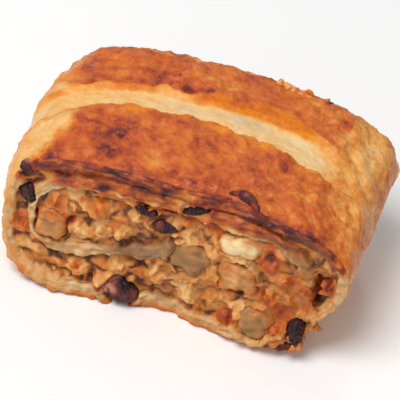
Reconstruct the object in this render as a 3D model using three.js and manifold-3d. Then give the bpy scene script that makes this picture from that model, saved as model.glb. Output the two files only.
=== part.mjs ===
// Mini apple strudel: a short piece cut from a rolled puff-pastry strudel, in millimetres, +Z up.
// X runs across the cut face, Y along the roll (the shown cut face looks to -Y), Z up from the base.
import * as THREE from 'three';
import { mergeVertices } from 'three/addons/utils/BufferGeometryUtils.js';
import { ImprovedNoise } from 'three/addons/math/ImprovedNoise.js';
import Module from 'manifold-3d';

const wasm = await Module();
wasm.setup();

// Driving dimensions
const HALF_WIDTH = 48.5;
const HALF_LENGTH = 26;
const LEFT_BELLY = 3.2;
const CENTRING = 1.5;
const CREST = 47.2;
const FIT_GAP = 0.3;
const CUTTER_REACH = 6;
const REST_FLAT = 0.45;

// Slash across the crust: a bow whose middle is at x, y, and which fades out over its last fade mm
const SLASH = { x: 2, y: 7.4, bow: 0.0063, halfWidth: 3.9, depth: 1.5, rightEnd: 40, fade: 12 };

// Crust relief: blisters as [height, size], and the drop of the rims at the cut faces
const LARGE_BLISTERS = [0.55, 8];
const SMALL_BLISTERS = [0.35, 4];
const RIM_DROP = 0.9;

// Crags of the cut filling as [height, size], and its bareness behind the sheet's cut edges
const LARGE_CRAGS = [1.3, 5.5];
const SMALL_CRAGS = [0.9, 3.4];
const FILLING_INSET = 0.5;

// The sheet's two ends are rounded off over this share of its length, down to END_BLUNT of a round
const END_SHARE = 1 / 120;
const END_BLUNT = 0.25;

// The pastry sheet's middle line, one station for each quarter turn, from its outer end inward.
// thick is the sheet's thickness there and round the roundness of the quarter that follows
// (2 is an ellipse, more is boxier, less is flatter).
const TURNS = [
  { x: 37.4, z: 13.6, thick: 2.2, round: 1.9 },
  { x: HALF_WIDTH - 1.6, z: 30, thick: 3.3, round: 2.5 },
  { x: 0, z: CREST - 2.2, thick: 4.4, round: 3.5 },
  { x: 1.6 - HALF_WIDTH, z: 21, thick: 3.2, round: 4.2 },
  { x: -8, z: 2.1, thick: 4.2, round: 4 },
  { x: 37.2, z: 21, thick: 2.8, round: 3.4 },
  { x: 2, z: 39.8, thick: 4.8, round: 2.6 },
  { x: -40.4, z: 25, thick: 2.4, round: 2.4 },
  { x: -31, z: 13.6, thick: 3.0, round: 1.35 },
  { x: -1, z: 24.6, thick: 4.4, round: 2 },
];
const BASE_TURN = 4;

// Mesh fineness
const SHEET_STEPS = 82;
const OUTER_SHARE = 0.36;
const OUTER_LAP = 0.002;
const OUTLINE_STEPS = 20;
const CRUST_ROWS = [0, 0.04, 0.2, 0.4, 0.56, 0.61, 0.71, 0.76, 0.87, 0.96, 1];
const INNER_ROWS = [0, 0.05, 0.27, 0.5, 0.73, 0.95, 1];
const BLOCK_STEPS_X = 22;
const BLOCK_STEPS_Z = 12;

// Swellings (out above 0) and hollows of the front cut face, as soft round hills on it
const FRONT_HILLS = [
  { x: -34, z: 1.5, wide: 12, high: 5, out: 4.4 },
  { x: 1, z: 2, wide: 6, high: 5, out: -2.6 },
  { x: 8, z: 2, wide: 3, high: 3, out: 1.8 },
  { x: 30, z: 3, wide: 10, high: 6, out: 3.6 },
  { x: 14, z: 49, wide: 6, high: 4, out: -3 },
  { x: -12, z: 39, wide: 24, high: 3.2, out: -1.6 },
  { x: 42, z: 24, wide: 4, high: 8, out: -1.5 },
];
const REAR_HILLS = [
  { x: 20, z: 10, wide: 12, high: 8, out: 1.6 },
  { x: -24, z: 26, wide: 14, high: 7, out: -1.2 },
  { x: -2, z: 46, wide: 15, high: 6, out: 2.4 },
  { x: 30, z: 40, wide: 12, high: 6, out: 2.0 },
];

// How round an apple dice's corners are: their reach from its middle, and how far they are drawn in
const APPLE_CORNER = 1.12;
const APPLE_ROUNDING = 0.62;

const noise = new ImprovedNoise();

// Smooth unevenness between about -1 and 1, with bumps about size mm across
function uneven(x, y, z, size, seed) {
  return noise.noise(x / size + seed, y / size + seed * 1.7, z / size - seed);
}

function hillsAt(hills, x, z) {
  let out = 0;
  for (const hill of hills) {
    const across = (x - hill.x) / hill.wide;
    const up = (z - hill.z) / hill.high;
    out += hill.out * Math.exp(-(across * across + up * up) / 2);
  }
  return out;
}

// Where the two cut faces stand at a point of the section
function frontY(x, z) {
  return -HALF_LENGTH - hillsAt(FRONT_HILLS, x, z) + 0.6 * uneven(x, 0, z, 7, 3);
}
function rearY(x, z) {
  return HALF_LENGTH + hillsAt(REAR_HILLS, x, z) + 0.7 * uneven(x, 0, z, 8, 11);
}

// The rolled sheet's middle line: quarter superellipses from one station to the next
class RollLine extends THREE.Curve {
  getPoint(t, target = new THREE.Vector3()) {
    const place = Math.min(t * (TURNS.length - 1), TURNS.length - 1 - 1e-9);
    const quarter = Math.floor(place);
    const angle = (place - quarter) * Math.PI / 2;
    const from = TURNS[quarter];
    const to = TURNS[quarter + 1];
    const fromCap = quarter % 2 === 0;
    const power = 2 / from.round;
    const leave = Math.pow(Math.cos(angle), power);
    const reach = Math.pow(Math.sin(angle), power);
    const x = fromCap ? from.x + (to.x - from.x) * reach : to.x + (from.x - to.x) * leave;
    const z = fromCap ? to.z + (from.z - to.z) * leave : from.z + (to.z - from.z) * reach;
    return target.set(x, 0, z);
  }
}
const rollLine = new RollLine();
rollLine.arcLengthDivisions = 1800;

// Station number (0 to 9) at a share of the sheet's length
function turnAt(share) {
  return rollLine.getUtoTmapping(share) * (TURNS.length - 1);
}

function thickAt(turn) {
  const low = Math.min(Math.floor(turn), TURNS.length - 2);
  return THREE.MathUtils.lerp(TURNS[low].thick, TURNS[low + 1].thick, turn - low);
}

// Slash, blisters and rounded rims that lower or raise the crust, in mm
function crustRelief(x, y, turn) {
  const onTop = THREE.MathUtils.smoothstep(turn, 0.9, 1.3)
    * (1 - THREE.MathUtils.smoothstep(turn, 2.7, 3.1));
  const middle = SLASH.y - SLASH.bow * (x - SLASH.x) * (x - SLASH.x);
  const across = (y - middle) / SLASH.halfWidth;
  const along = 1 - THREE.MathUtils.smoothstep(x, SLASH.rightEnd - SLASH.fade, SLASH.rightEnd);
  const slash = SLASH.depth * Math.exp(-Math.pow(Math.abs(across), 4)) * along;
  const rim = RIM_DROP * Math.pow(Math.abs(y) / HALF_LENGTH, 6);
  const blisters = LARGE_BLISTERS[0] * uneven(x, y, turn * 9, LARGE_BLISTERS[1], 5)
    + SMALL_BLISTERS[0] * uneven(x, y, turn * 9, SMALL_BLISTERS[1], 7);
  return onTop * (blisters - slash - rim) + (1 - onTop) * 0.6 * blisters;
}

// One point of the rolled sheet. share runs along the sheet, row from front to rear, side from the
// inner face (0) to the outer face (1). Rows -1 and 2 lie past the cut faces. grow thickens the sheet.
function sheetPoint(share, row, side, grow) {
  const middle = rollLine.getPointAt(share);
  const along = rollLine.getTangentAt(share);
  const turn = turnAt(share);
  const outward = new THREE.Vector3(along.z, 0, -along.x);
  const fromEnd = Math.min(1, Math.min(share, 1 - share) / END_SHARE + END_BLUNT);
  const endRound = Math.sqrt(1 - Math.pow(1 - fromEnd, 2));
  const half = thickAt(turn) / 2 * endRound + grow;
  const point = middle.clone().addScaledVector(outward, (side * 2 - 1) * half);
  const within = THREE.MathUtils.clamp(row, 0, 1);
  point.y = THREE.MathUtils.lerp(frontY(point.x, point.z), rearY(point.x, point.z), within);
  const midway = 1 - Math.pow(point.y / HALF_LENGTH, 2);
  point.x -= LEFT_BELLY * Math.max(midway, 0) * THREE.MathUtils.smoothstep(-point.x, 8, HALF_WIDTH);
  if (side > 0.5 && turn < BASE_TURN - 0.2 && turn > 0.3 && grow === 0) {
    point.addScaledVector(outward, crustRelief(point.x, point.y, turn));
  }
  if (turn > 3 && turn < 5 && side > 0.5) {
    point.z = point.z < REST_FLAT ? 0 : point.z;
  }
  point.z = Math.max(point.z, 0);
  point.y += (row - within) * CUTTER_REACH;
  return point;
}

// A box of unit size whose grid is carried onto a stretch of the rolled sheet
function sheetGeometry(fromShare, toShare, rows, grow) {
  const steps = Math.round(SHEET_STEPS * (toShare - fromShare));
  const box = new THREE.BoxGeometry(1, 1, 1, steps, rows.length - 1, 1);
  const places = box.attributes.position;
  for (let i = 0; i < places.count; i++) {
    const share = THREE.MathUtils.lerp(fromShare, toShare, THREE.MathUtils.clamp(places.getX(i) + 0.5, 0, 1));
    const row = rows[Math.round((places.getY(i) + 0.5) * (rows.length - 1))];
    const side = 0.5 - places.getZ(i);
    const point = sheetPoint(share, row, side, grow);
    places.setXYZ(i, point.x, point.y, point.z);
  }
  return box;
}

// The whole sheet: the outer turn and the inner turns, joined where they meet on the left and
// where the sheet's outer end is baked on to the turn beneath it
function sheetSolid(grow) {
  const past = (rows) => (grow > 0 ? [-1, ...rows, 2] : rows);
  const outerTurn = solidOf(sheetGeometry(0, OUTER_SHARE + OUTER_LAP, past(CRUST_ROWS), grow));
  const innerTurns = solidOf(sheetGeometry(OUTER_SHARE, 1, past(INNER_ROWS), grow));
  return outerTurn.add(innerTurns);
}

// Closed mesh with shared corners, as a solid that can be joined and cut
function solidOf(geometry) {
  const bare = geometry.clone();
  bare.deleteAttribute('normal');
  bare.deleteAttribute('uv');
  const merged = mergeVertices(bare, 1e-4);
  const vertProperties = new Float32Array(merged.attributes.position.array);
  const triVerts = new Uint32Array(merged.index.array);
  return new wasm.Manifold(new wasm.Mesh({ numProp: 3, vertProperties, triVerts }));
}

function geometryOf(solid) {
  const mesh = solid.getMesh();
  const geometry = new THREE.BufferGeometry();
  geometry.setAttribute('position', new THREE.BufferAttribute(new Float32Array(mesh.vertProperties), 3));
  geometry.setIndex(new THREE.BufferAttribute(new Uint32Array(mesh.triVerts), 1));
  geometry.computeVertexNormals();
  return geometry;
}

// The largest piece of a solid, without loose scraps
function mainPiece(solid) {
  const pieces = solid.decompose();
  return pieces.reduce((largest, piece) => (piece.volume() > largest.volume() ? piece : largest));
}

// A wrinkled raisin or currant: a ball with long, deep and high half-sizes and random dents
function raisinGeometry({ place, half, tilt, seed, detail }, grow) {
  const ball = new THREE.IcosahedronGeometry(1, detail ?? 1);
  const places = ball.attributes.position;
  const corner = new THREE.Vector3();
  for (let i = 0; i < places.count; i++) {
    corner.fromBufferAttribute(places, i);
    const wrinkle = 1 + 0.14 * uneven(corner.x * 3, corner.y * 3, corner.z * 3, 1.7, seed);
    corner.multiply(new THREE.Vector3(half[0], half[1], half[2])).multiplyScalar(wrinkle);
    corner.setLength(corner.length() + grow);
    places.setXYZ(i, corner.x, corner.y, corner.z);
  }
  ball.rotateY(THREE.MathUtils.degToRad(-tilt));
  ball.translate(place[0], place[1], place[2]);
  return ball;
}

// A soft baked dice of apple: a cuboid with rounded corners and uneven sides
function appleGeometry({ place, half, tilt, seed }, grow) {
  const dice = new THREE.BoxGeometry(2, 2, 2, 3, 3, 3);
  const places = dice.attributes.position;
  const corner = new THREE.Vector3();
  for (let i = 0; i < places.count; i++) {
    corner.fromBufferAttribute(places, i);
    const ball = corner.clone().normalize();
    corner.lerp(ball.multiplyScalar(APPLE_CORNER), APPLE_ROUNDING);
    const dent = 1 + 0.12 * uneven(corner.x * 2, corner.y * 2, corner.z * 2, 1.5, seed);
    corner.multiply(new THREE.Vector3(half[0], half[1], half[2])).multiplyScalar(dent);
    corner.setLength(corner.length() + grow);
    places.setXYZ(i, corner.x, corner.y, corner.z);
  }
  dice.rotateY(THREE.MathUtils.degToRad(-tilt));
  dice.translate(place[0], place[1], place[2]);
  return dice;
}

// Raisins and apple dice: place is the middle's [x, depth, z], where depth is how far the middle
// lies behind its cut face, half the half-sizes across, deep and high, tilt in degrees.
const FRONT_RAISINS = [
  { name: 'raisin_left', at: [-41.8, 0.8, 29], half: [2.4, 2.4, 3.2], tilt: 12, seed: 1 },
  { name: 'raisin_corner', at: [-43.0, 0.6, 37.0], half: [2.2, 2.2, 2.4], tilt: 40, seed: 2 },
  { name: 'raisin_base', at: [-13.2, 1.4, 4.6], half: [5.4, 4.6, 4.2], tilt: -14, seed: 3, detail: 2 },
  { name: 'raisin_right', at: [37.0, 1.6, 9.4], half: [2.6, 3.0, 4.8], tilt: 10, seed: 4 },
  { name: 'raisin_middle', at: [-3.2, 0.9, 31.0], half: [3.4, 2.2, 1.7], tilt: 12, seed: 5 },
  { name: 'raisin_seam', at: [-9.4, 0.9, 34.4], half: [3.3, 2.0, 1.3], tilt: -8, seed: 6 },
  { name: 'raisin_upper', at: [4.2, 1.1, 40.0], half: [4.8, 2.2, 1.8], tilt: 32, seed: 7 },
];
const FRONT_APPLES = [
  { name: 'apple_left', at: [-34.8, 1.6, 20.6], half: [4.3, 3.6, 4.6], tilt: -8, seed: 21 },
  { name: 'apple_slice', at: [4.6, 2.4, 22.8], half: [5.0, 3.8, 5.0], tilt: -28, seed: 22 },
  { name: 'apple_pale', at: [17.6, 1.9, 32.4], half: [5.8, 3.6, 3.2], tilt: 18, seed: 23 },
  { name: 'apple_golden', at: [18.4, 2.0, 21.2], half: [5.2, 4.0, 4.4], tilt: 8, seed: 24 },
  { name: 'apple_base', at: [25.2, 2.2, 8.0], half: [4.4, 3.6, 4.4], tilt: -12, seed: 25 },
];
const REAR_RAISINS = [
  { name: 'raisin_rear_top', at: [25.6, 0.2, 41.4], half: [2.6, 2.4, 2.4], tilt: 0, seed: 8 },
  { name: 'raisin_rear_left', at: [-29.5, 0.9, 7.6], half: [4.2, 3.2, 2.9], tilt: 14, seed: 9 },
  { name: 'raisin_rear_middle', at: [11.5, 0.9, 12.2], half: [3.4, 2.8, 2.6], tilt: -18, seed: 10 },
];
const REAR_APPLES = [
  { name: 'apple_rear_top', at: [16.2, 1.0, 34.0], half: [5.2, 3.8, 3.6], tilt: -10, seed: 26 },
  { name: 'apple_rear_left', at: [-29.0, 1.8, 25.0], half: [4.8, 3.8, 4.6], tilt: 16, seed: 27 },
  { name: 'apple_rear_middle', at: [5.4, 1.6, 25.6], half: [4.6, 3.6, 4.2], tilt: 24, seed: 28 },
  { name: 'apple_rear_right', at: [26.6, 1.8, 16.4], half: [4.6, 4.0, 5.0], tilt: -14, seed: 29 },
];

function onFront(piece) {
  const [x, depth, z] = piece.at;
  return { ...piece, place: [x, frontY(x, z) + depth, z] };
}
function onRear(piece) {
  const [x, depth, z] = piece.at;
  return { ...piece, place: [x, rearY(x, z) - depth, z] };
}
const raisins = [...FRONT_RAISINS.map(onFront), ...REAR_RAISINS.map(onRear)];
const apples = [...FRONT_APPLES.map(onFront), ...REAR_APPLES.map(onRear)];

// Filling: a block with craggy cut faces, kept inside the roll and cut free of the sheet.
// Its outline follows the sheet's middle line from the crust's top round to the inner top. The
// filling of the seam lies between the crust's right side and the turn beneath it.
const FILLING_RUNS = [[1.9, 6.6]];
const SEAM_RUNS = [[0.02, 1.55], [5.62, 4.98]];

// A hollow in the seam's filling at each cut face: its middle and its half-sizes across, deep, high
const SEAM_HOLLOW = { x: 41.2, z: 24.6, half: [2.7, 7, 7.4] };

function outlinePrism(runs) {
  const points = [];
  for (const [from, to] of runs) {
    const steps = Math.ceil(OUTLINE_STEPS * Math.abs(to - from));
    for (let i = 0; i <= steps; i++) {
      const point = rollLine.getPoint(THREE.MathUtils.lerp(from, to, i / steps) / (TURNS.length - 1));
      points.push(new THREE.Vector2(point.x, point.z));
    }
  }
  const outline = new THREE.Shape(points);
  const depth = 4 * HALF_LENGTH;
  const prism = new THREE.ExtrudeGeometry(outline, { depth, steps: 1, bevelEnabled: false });
  prism.rotateX(Math.PI / 2);
  prism.translate(0, depth / 2, 0);
  return prism;
}

function craggyBlock() {
  const block = new THREE.BoxGeometry(1, 1, 1, BLOCK_STEPS_X, 1, BLOCK_STEPS_Z);
  const places = block.attributes.position;
  for (let i = 0; i < places.count; i++) {
    const x = (places.getX(i) * 2) * HALF_WIDTH;
    const z = (places.getZ(i) + 0.5) * CREST;
    const crag = LARGE_CRAGS[0] * uneven(x, 0, z, LARGE_CRAGS[1], 17)
      + SMALL_CRAGS[0] * uneven(x, 9, z, SMALL_CRAGS[1], 19);
    const inset = FILLING_INSET - crag;
    const y = places.getY(i) < 0 ? frontY(x, z) + inset : rearY(x, z) - inset;
    places.setXYZ(i, x, y, z);
  }
  return block;
}

// Crumbs of baked filling and of pastry fused to the two cut faces, [x, z, half-size]
const FRONT_CRUMBS = [
  [-26.5, 20.6, 2.3], [-21.5, 22.8, 2.1], [-15, 24.4, 2.4], [-26, 8.4, 2.5],
  [-15, 12.2, 2.4], [-43, 16.5, 2.4], [-37, 9.2, 2.3], [-4, 12.4, 2.9],
  [5.5, 9.5, 3.0], [13, 11.6, 2.5], [17, 6.6, 2.4], [28, 17.6, 2.6],
  [26.4, 28.2, 2.6], [31, 24.6, 2.4], [-22, 29.6, 2.5], [32.2, 8, 2.5],
];
const CRUMB_SINK = 0.4;
const REAR_CRUMB_COUNT = 7;

// Evenly jittered places for the crumbs of the hidden rear face
function rearCrumbs() {
  const crumbs = [];
  for (let i = 0; i < REAR_CRUMB_COUNT; i++) {
    const x = -38 + 74 * (i + 0.5) / REAR_CRUMB_COUNT + 2.5 * Math.sin(i * 5.1);
    const z = 16 + 10 * Math.sin(i * 2.4);
    crumbs.push([x, z, 2.1 + 0.5 * Math.sin(i * 3.7)]);
  }
  return crumbs;
}

function crumbSolid([x, z, size], faceY, deep, seed) {
  const place = [x, faceY(x, z) + deep, z];
  const half = [size, size * 0.9, size * 0.75];
  return solidOf(raisinGeometry({ place, half, tilt: seed * 47, seed: 40 + seed }, 0));
}

const sheetCutter = sheetSolid(FIT_GAP);
const pockets = [
  ...raisins.map((piece) => solidOf(raisinGeometry(piece, FIT_GAP))),
  ...apples.map((piece) => solidOf(appleGeometry(piece, FIT_GAP))),
];

let sheet = sheetSolid(0);
const craggy = solidOf(craggyBlock());
let filling = craggy;
FRONT_CRUMBS.forEach((crumb, i) => {
  filling = filling.add(crumbSolid(crumb, frontY, CRUMB_SINK, i));
});
rearCrumbs().forEach((crumb, i) => {
  filling = filling.add(crumbSolid(crumb, rearY, -CRUMB_SINK, 30 + i));
});
filling = filling.intersect(solidOf(outlinePrism(FILLING_RUNS))).subtract(sheetCutter);
let seamFilling = craggy.intersect(solidOf(outlinePrism(SEAM_RUNS))).subtract(sheetCutter);
for (const pocket of pockets) {
  sheet = sheet.subtract(pocket);
  filling = filling.subtract(pocket);
  seamFilling = seamFilling.subtract(pocket);
}
for (const faceY of [frontY, rearY]) {
  const { x, z, half } = SEAM_HOLLOW;
  const hollow = { place: [x, faceY(x, z), z], half, tilt: 0, seed: 60, detail: 2 };
  seamFilling = seamFilling.subtract(solidOf(raisinGeometry(hollow, 0)));
}
sheet = mainPiece(sheet);
filling = mainPiece(filling);
seamFilling = mainPiece(seamFilling);

// Baked finishes
const crust = new THREE.MeshStandardMaterial({ color: 0xc9713a, roughness: 0.42, metalness: 0 });
const fruitMass = new THREE.MeshStandardMaterial({ color: 0xc58a55, roughness: 0.55, metalness: 0 });
const driedGrape = new THREE.MeshStandardMaterial({ color: 0x3a1c16, roughness: 0.45, metalness: 0 });
const bakedApple = new THREE.MeshStandardMaterial({ color: 0xd0a06a, roughness: 0.4, metalness: 0 });

const strudel = new THREE.Group();

function addPiece(name, geometry, material) {
  const mesh = new THREE.Mesh(geometry, material);
  mesh.name = name;
  strudel.add(mesh);
}

addPiece('pastry_roll', geometryOf(sheet), crust);
addPiece('apple_filling', geometryOf(filling), fruitMass);
addPiece('seam_filling', geometryOf(seamFilling), fruitMass);
for (const raisin of raisins) {
  addPiece(raisin.name, geometryOf(solidOf(raisinGeometry(raisin, 0))), driedGrape);
}
for (const apple of apples) {
  addPiece(apple.name, geometryOf(solidOf(appleGeometry(apple, 0))), bakedApple);
}

strudel.position.x = CENTRING;

export default strudel;
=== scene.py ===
import math

import bmesh
import bpy
import numpy as np
from mathutils import Euler, Matrix, Vector, kdtree, noise
from mathutils.bvhtree import BVHTree


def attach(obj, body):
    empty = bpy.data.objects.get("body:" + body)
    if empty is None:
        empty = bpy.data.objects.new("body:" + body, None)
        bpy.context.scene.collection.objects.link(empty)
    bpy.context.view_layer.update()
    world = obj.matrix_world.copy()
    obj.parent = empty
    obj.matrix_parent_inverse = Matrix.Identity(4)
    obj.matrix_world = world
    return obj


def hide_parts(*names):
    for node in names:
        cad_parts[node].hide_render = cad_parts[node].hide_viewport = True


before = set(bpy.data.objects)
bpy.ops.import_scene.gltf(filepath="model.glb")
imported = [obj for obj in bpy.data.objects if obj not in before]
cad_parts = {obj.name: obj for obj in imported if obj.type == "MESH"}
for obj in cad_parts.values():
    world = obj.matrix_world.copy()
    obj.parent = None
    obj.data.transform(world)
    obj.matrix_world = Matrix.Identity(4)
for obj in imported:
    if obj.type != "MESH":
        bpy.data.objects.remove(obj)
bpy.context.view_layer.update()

bl_info = {
    "name": "Mini apple strudel",
    "version": (1, 0, 0),
    "blender": (4, 5, 0),
    "location": "3D View > Sidebar > Strudel",
    "description": "Bakes a short piece of rolled apple strudel around its packed solids",
    "category": "Add Mesh",
}

# Lengths are in mm. Section coordinates have X across the cut face, Y along the roll, Z up, and
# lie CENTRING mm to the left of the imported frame.
MM = 0.001
CENTRING = 1.5
HALF_WIDTH = 48.5
HALF_LENGTH = 26.0
CREST = 47.2
LEFT_BELLY = 3.2
BASE_TURN = 4
REST_FLAT = 0.45

# The sheet's middle line, one station for each quarter turn from its outer end inward:
# x, z, thickness, and how boxy the quarter after it is
TURNS = np.array([
    (37.4, 13.6, 2.2, 1.9),
    (HALF_WIDTH - 1.6, 30.0, 3.3, 2.5),
    (0.0, CREST - 2.2, 4.4, 3.5),
    (1.6 - HALF_WIDTH, 21.0, 3.2, 4.2),
    (-8.0, 2.1, 4.2, 4.0),
    (37.2, 21.0, 2.8, 3.4),
    (2.0, 39.8, 4.8, 2.6),
    (-40.4, 25.0, 2.4, 2.4),
    (-31.0, 13.6, 3.0, 1.35),
    (-1.0, 24.6, 4.4, 2.0),
])
# Shares of the sheet's length at which the crust of the top and sides gives way to the base, and at
# which the sheet passes inside the roll
CRUST_SHARE = 0.36
OUTER_SHARE = 0.61
LAP = 0.002

# Swellings (out above 0) and hollows of the two cut faces: x, z, wide, high, out
FRONT_HILLS = [
    (-34, 1.5, 12, 5, 4.4), (1, 2, 6, 5, -2.6), (8, 2, 3, 3, 1.8), (30, 3, 10, 6, 3.6),
    (14, 49, 6, 4, -3.0), (-12, 39, 24, 3.2, -1.6), (42, 24, 4, 8, -1.5),
]
REAR_HILLS = [(20, 10, 12, 8, 1.6), (-24, 26, 14, 7, -1.2), (-2, 46, 15, 6, 2.4), (30, 40, 12, 6, 2.0)]

# The slash across the crust: stations x, and y of its front lip, of its floor's rear edge and of the
# rear lip above the sloping rear wall
SLASH = np.array([
    (-50, -12, 0, 3), (-44, -8, 2.5, 5), (-38, -4.2, 4.5, 7), (-33, -0.8, 5.8, 8), (-25, 0.6, 7.6, 9.4),
    (-18, 0.6, 9, 11.6), (-13, 1.2, 9.3, 10.6), (-6.5, 3, 9.4, 12.6), (0, 3, 9.4, 13.6), (6, 1.2, 9.3, 14.6),
    (11.5, 1.8, 9.4, 15.8), (20, 0.2, 9, 14.8), (28, -2, 7.4, 11.6), (36, -3.2, 4.6, 7), (44, -3.4, 2.5, 3.5),
])
SLASH_DEPTH = 1.5

# Where the browned crust ends towards the pale left shoulder, as x at stations of y
BROWN_FROM = np.array([(-28, -43), (-24, -42), (-18, -39), (-10, -36.8), (-4, -35.6), (-0.6, -33.4), (4, -40), (10, -44), (28, -46)])

# Darker (above 0) and paler places of the crust's top: x, y, half sizes, strength
CRUST_PATCHES = [
    (-28, -15, 8, 7, 0.13), (-23, -20, 6, 4, 0.05), (-38, -25.5, 5, 2.5, 0.18), (-31, -5, 5, 4, 0.06),
    (33, -27, 6, 4, 0.20), (38, -24, 4, 6, 0.14), (-41, 16, 2.0, 3.0, 0.26), (-38, 13, 1.5, 2, 0.10),
    (-12, 13.6, 4.5, 1.6, 0.05), (-19.3, 16.5, 0.8, 5, 0.12), (1, -6, 2.4, 1.8, 0.16), (22, -4.6, 1.5, 2, 0.22),
    (32, 21, 1.4, 1.4, 0.26), (-15, 17.9, 0.45, 0.45, 0.6), (-10.5, -18.5, 3.2, 3, -0.16), (8, -5, 5, 5, -0.10),
    (15, 18, 9, 3, -0.04), (-2, -22, 14, 3, 0.08), (42, 4, 5, 22, -0.14), (28, 13, 5, 3, -0.10),
    (-30, 12, 5, 2.5, -0.10), (36, 10, 4, 6, -0.10), (27, -14, 5, 6, -0.06), (-4, 20, 8, 4, -0.09),
]
# Amber places along the slash's front lip
SMUDGES = [(-11, 7.2, 4.5, 1.5, 0.9), (-1, 7.6, 5, 1.8, 0.6), (8, 7.4, 6, 1.9, 1.1), (20, 6.5, 4, 1.2, 0.4), (-25, 5.6, 4, 1.0, 0.3)]
AMBER_PATCHES = [(2, 0.8, 4, 1.6, 1.0), (15, -0.4, 5.5, 1.5, 1.0), (-22, -1.2, 4, 1.7, 0.9), (27, -4, 4, 1.5, 0.7)]
# The same on the cut faces: x, z, half sizes, strength
FRONT_PATCHES = [
    (-12, 42, 2.6, 1.0, 0.30), (-21, 38.5, 2, 1.0, 0.25), (-34, 37.5, 3, 1.6, 0.22), (26, 33, 1.6, 2.4, 0.5),
    (17.5, 7.5, 3.2, 3, 0.30), (32, 14.5, 2.4, 3.4, 0.32), (26, 18, 2, 3.4, 0.24), (25, 31, 6, 3.5, 0.20),
    (-12.5, 11.5, 1.4, 1.4, 0.3), (-26, 9.5, 1.6, 1.2, 0.26), (-44, 18, 2.4, 3, 0.25), (-42, 3, 5, 3.6, 0.34),
    (36, 5, 4, 4, 0.34), (9, 35, 5, 2.4, 0.14), (28, 38.5, 8, 3.4, 0.22), (35, 22, 4.5, 10, 0.27), (-3, 35.6, 3.5, 0.8, 0.5), (24, 41, 12, 3, 0.14), (0, 42.5, 5, 2.4, -0.28), (-30, 30, 5, 3, 0.10),
    (-20, 32, 8, 2.4, 0.20), (-29.6, 23.6, 1.2, 1.5, 0.9), (-34, 27, 2.4, 1.6, 0.2), (30.5, 3.6, 1.0, 1.3, 0.8), (-4.9, 43, 0.8, 1.2, 0.8),
    (43.5, 12, 3, 6, 0.16), (42.3, 26.4, 2.8, 3.2, 0.5), (-24, 37.5, 12, 3, 0.12),
]


def smooth(value, low, high):
    """0 below low, 1 above high, and an even swing between."""
    share = np.clip((value - low) / (high - low), 0, 1)
    return share * share * (3 - 2 * share)


def rough(x, y, z, size, seed):
    """Smooth unevenness between about -1 and 1, with bumps about size mm across."""
    shape = np.broadcast(x, y, z).shape
    columns = (x / size + seed, y / size + 1.7 * seed, z / size - seed)
    places = zip(*(np.broadcast_to(column, shape).tolist() for column in columns))
    return 1.45 * np.array([noise.noise(Vector(place)) for place in places])


def chunks(x, y, z, size, seed):
    """Packed chunks about size mm across: 0 in the creases between them rising to about 1 in their
    middles, and two random numbers for each chunk."""
    columns = (x / size + seed, y / size - seed, z / size + 2.3 * seed)
    inside, first, second = [], [], []
    for place in zip(*(column.tolist() for column in columns)):
        away, middles = noise.voronoi(Vector(place))
        inside.append(away[1] - away[0])
        mixed = math.sin(middles[0].x * 12.99 + middles[0].y * 78.23 + middles[0].z * 37.72) * 4375.85
        first.append(mixed % 1)
        second.append(mixed * 7.3 % 1)
    return np.array(inside), np.array(first), np.array(second)


def patches(a, b, places):
    """Sum of soft round patches, each a place, its two half sizes and its strength."""
    total = np.zeros(np.shape(a))
    for middle_a, middle_b, half_a, half_b, strength in places:
        total += strength * np.exp(-((a - middle_a) / half_a) ** 2 - ((b - middle_b) / half_b) ** 2)
    return total


def hills_at(hills, x, z):
    return patches(x, z, [(h[0], h[1], h[2] * math.sqrt(2), h[3] * math.sqrt(2), h[4]) for h in hills])


def front_y(x, z):
    return -HALF_LENGTH - hills_at(FRONT_HILLS, x, z)


def rear_y(x, z):
    return HALF_LENGTH + hills_at(REAR_HILLS, x, z)


def roll_line(steps=9000):
    """The sheet's middle line as columns: share of its length, x, z, outward x and z, turn, thickness."""
    t = np.linspace(0, len(TURNS) - 1 - 1e-7, steps)
    quarter = t.astype(int)
    start, end = TURNS[quarter], TURNS[quarter + 1]
    angle = (t - quarter) * math.pi / 2
    leave = np.cos(angle) ** (2 / start[:, 3])
    reach = np.sin(angle) ** (2 / start[:, 3])
    from_cap = quarter % 2 == 0
    x = np.where(from_cap, start[:, 0] + (end[:, 0] - start[:, 0]) * reach,
                 end[:, 0] + (start[:, 0] - end[:, 0]) * leave)
    z = np.where(from_cap, end[:, 1] + (start[:, 1] - end[:, 1]) * leave,
                 start[:, 1] + (end[:, 1] - start[:, 1]) * reach)
    length = np.concatenate([[0], np.cumsum(np.hypot(np.diff(x), np.diff(z)) + 1e-9)])
    even = np.linspace(0, length[-1], steps)
    t, x, z, thick = (np.interp(even, length, c) for c in (
        t, x, z, start[:, 2] + (end[:, 2] - start[:, 2]) * (t - quarter)))
    along_x, along_z = np.gradient(x, even), np.gradient(z, even)
    return np.stack([even / even[-1], x, z, along_z, -along_x, t, thick]), even[-1]


ROLL, SHEET_LENGTH = roll_line()


def sheet_at(share):
    """x, z, outward x, outward z, turn and thickness at shares of the sheet's length."""
    return [np.interp(share, ROLL[0], column) for column in ROLL[1:]]


def slash_at(x, y):
    """How far a place lies in the slash, and how far up its sloping rear wall, both 0 to 1; and y of
    the front and rear lips beside it."""
    front, rear, lip = (np.interp(x, SLASH[:, 0], column) for column in SLASH.T[1:])
    front = front + 0.7 * rough(x, 0 * x, 0 * x, 5, 8) + 0.35 * rough(x, 0 * x, 0 * x, 2.0, 9)
    lip = lip + 0.9 * rough(x, 0 * x, 0 * x, 6, 10) + 0.45 * rough(x, 0 * x, 0 * x, 2.2, 11)
    inside = smooth(y - front, -0.35, 0.45) * (1 - smooth(y - lip, -0.3, 0.5))
    return inside, inside * smooth((y - rear + 0.8) / (lip - rear + 0.8), 0, 1), front, lip


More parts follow.
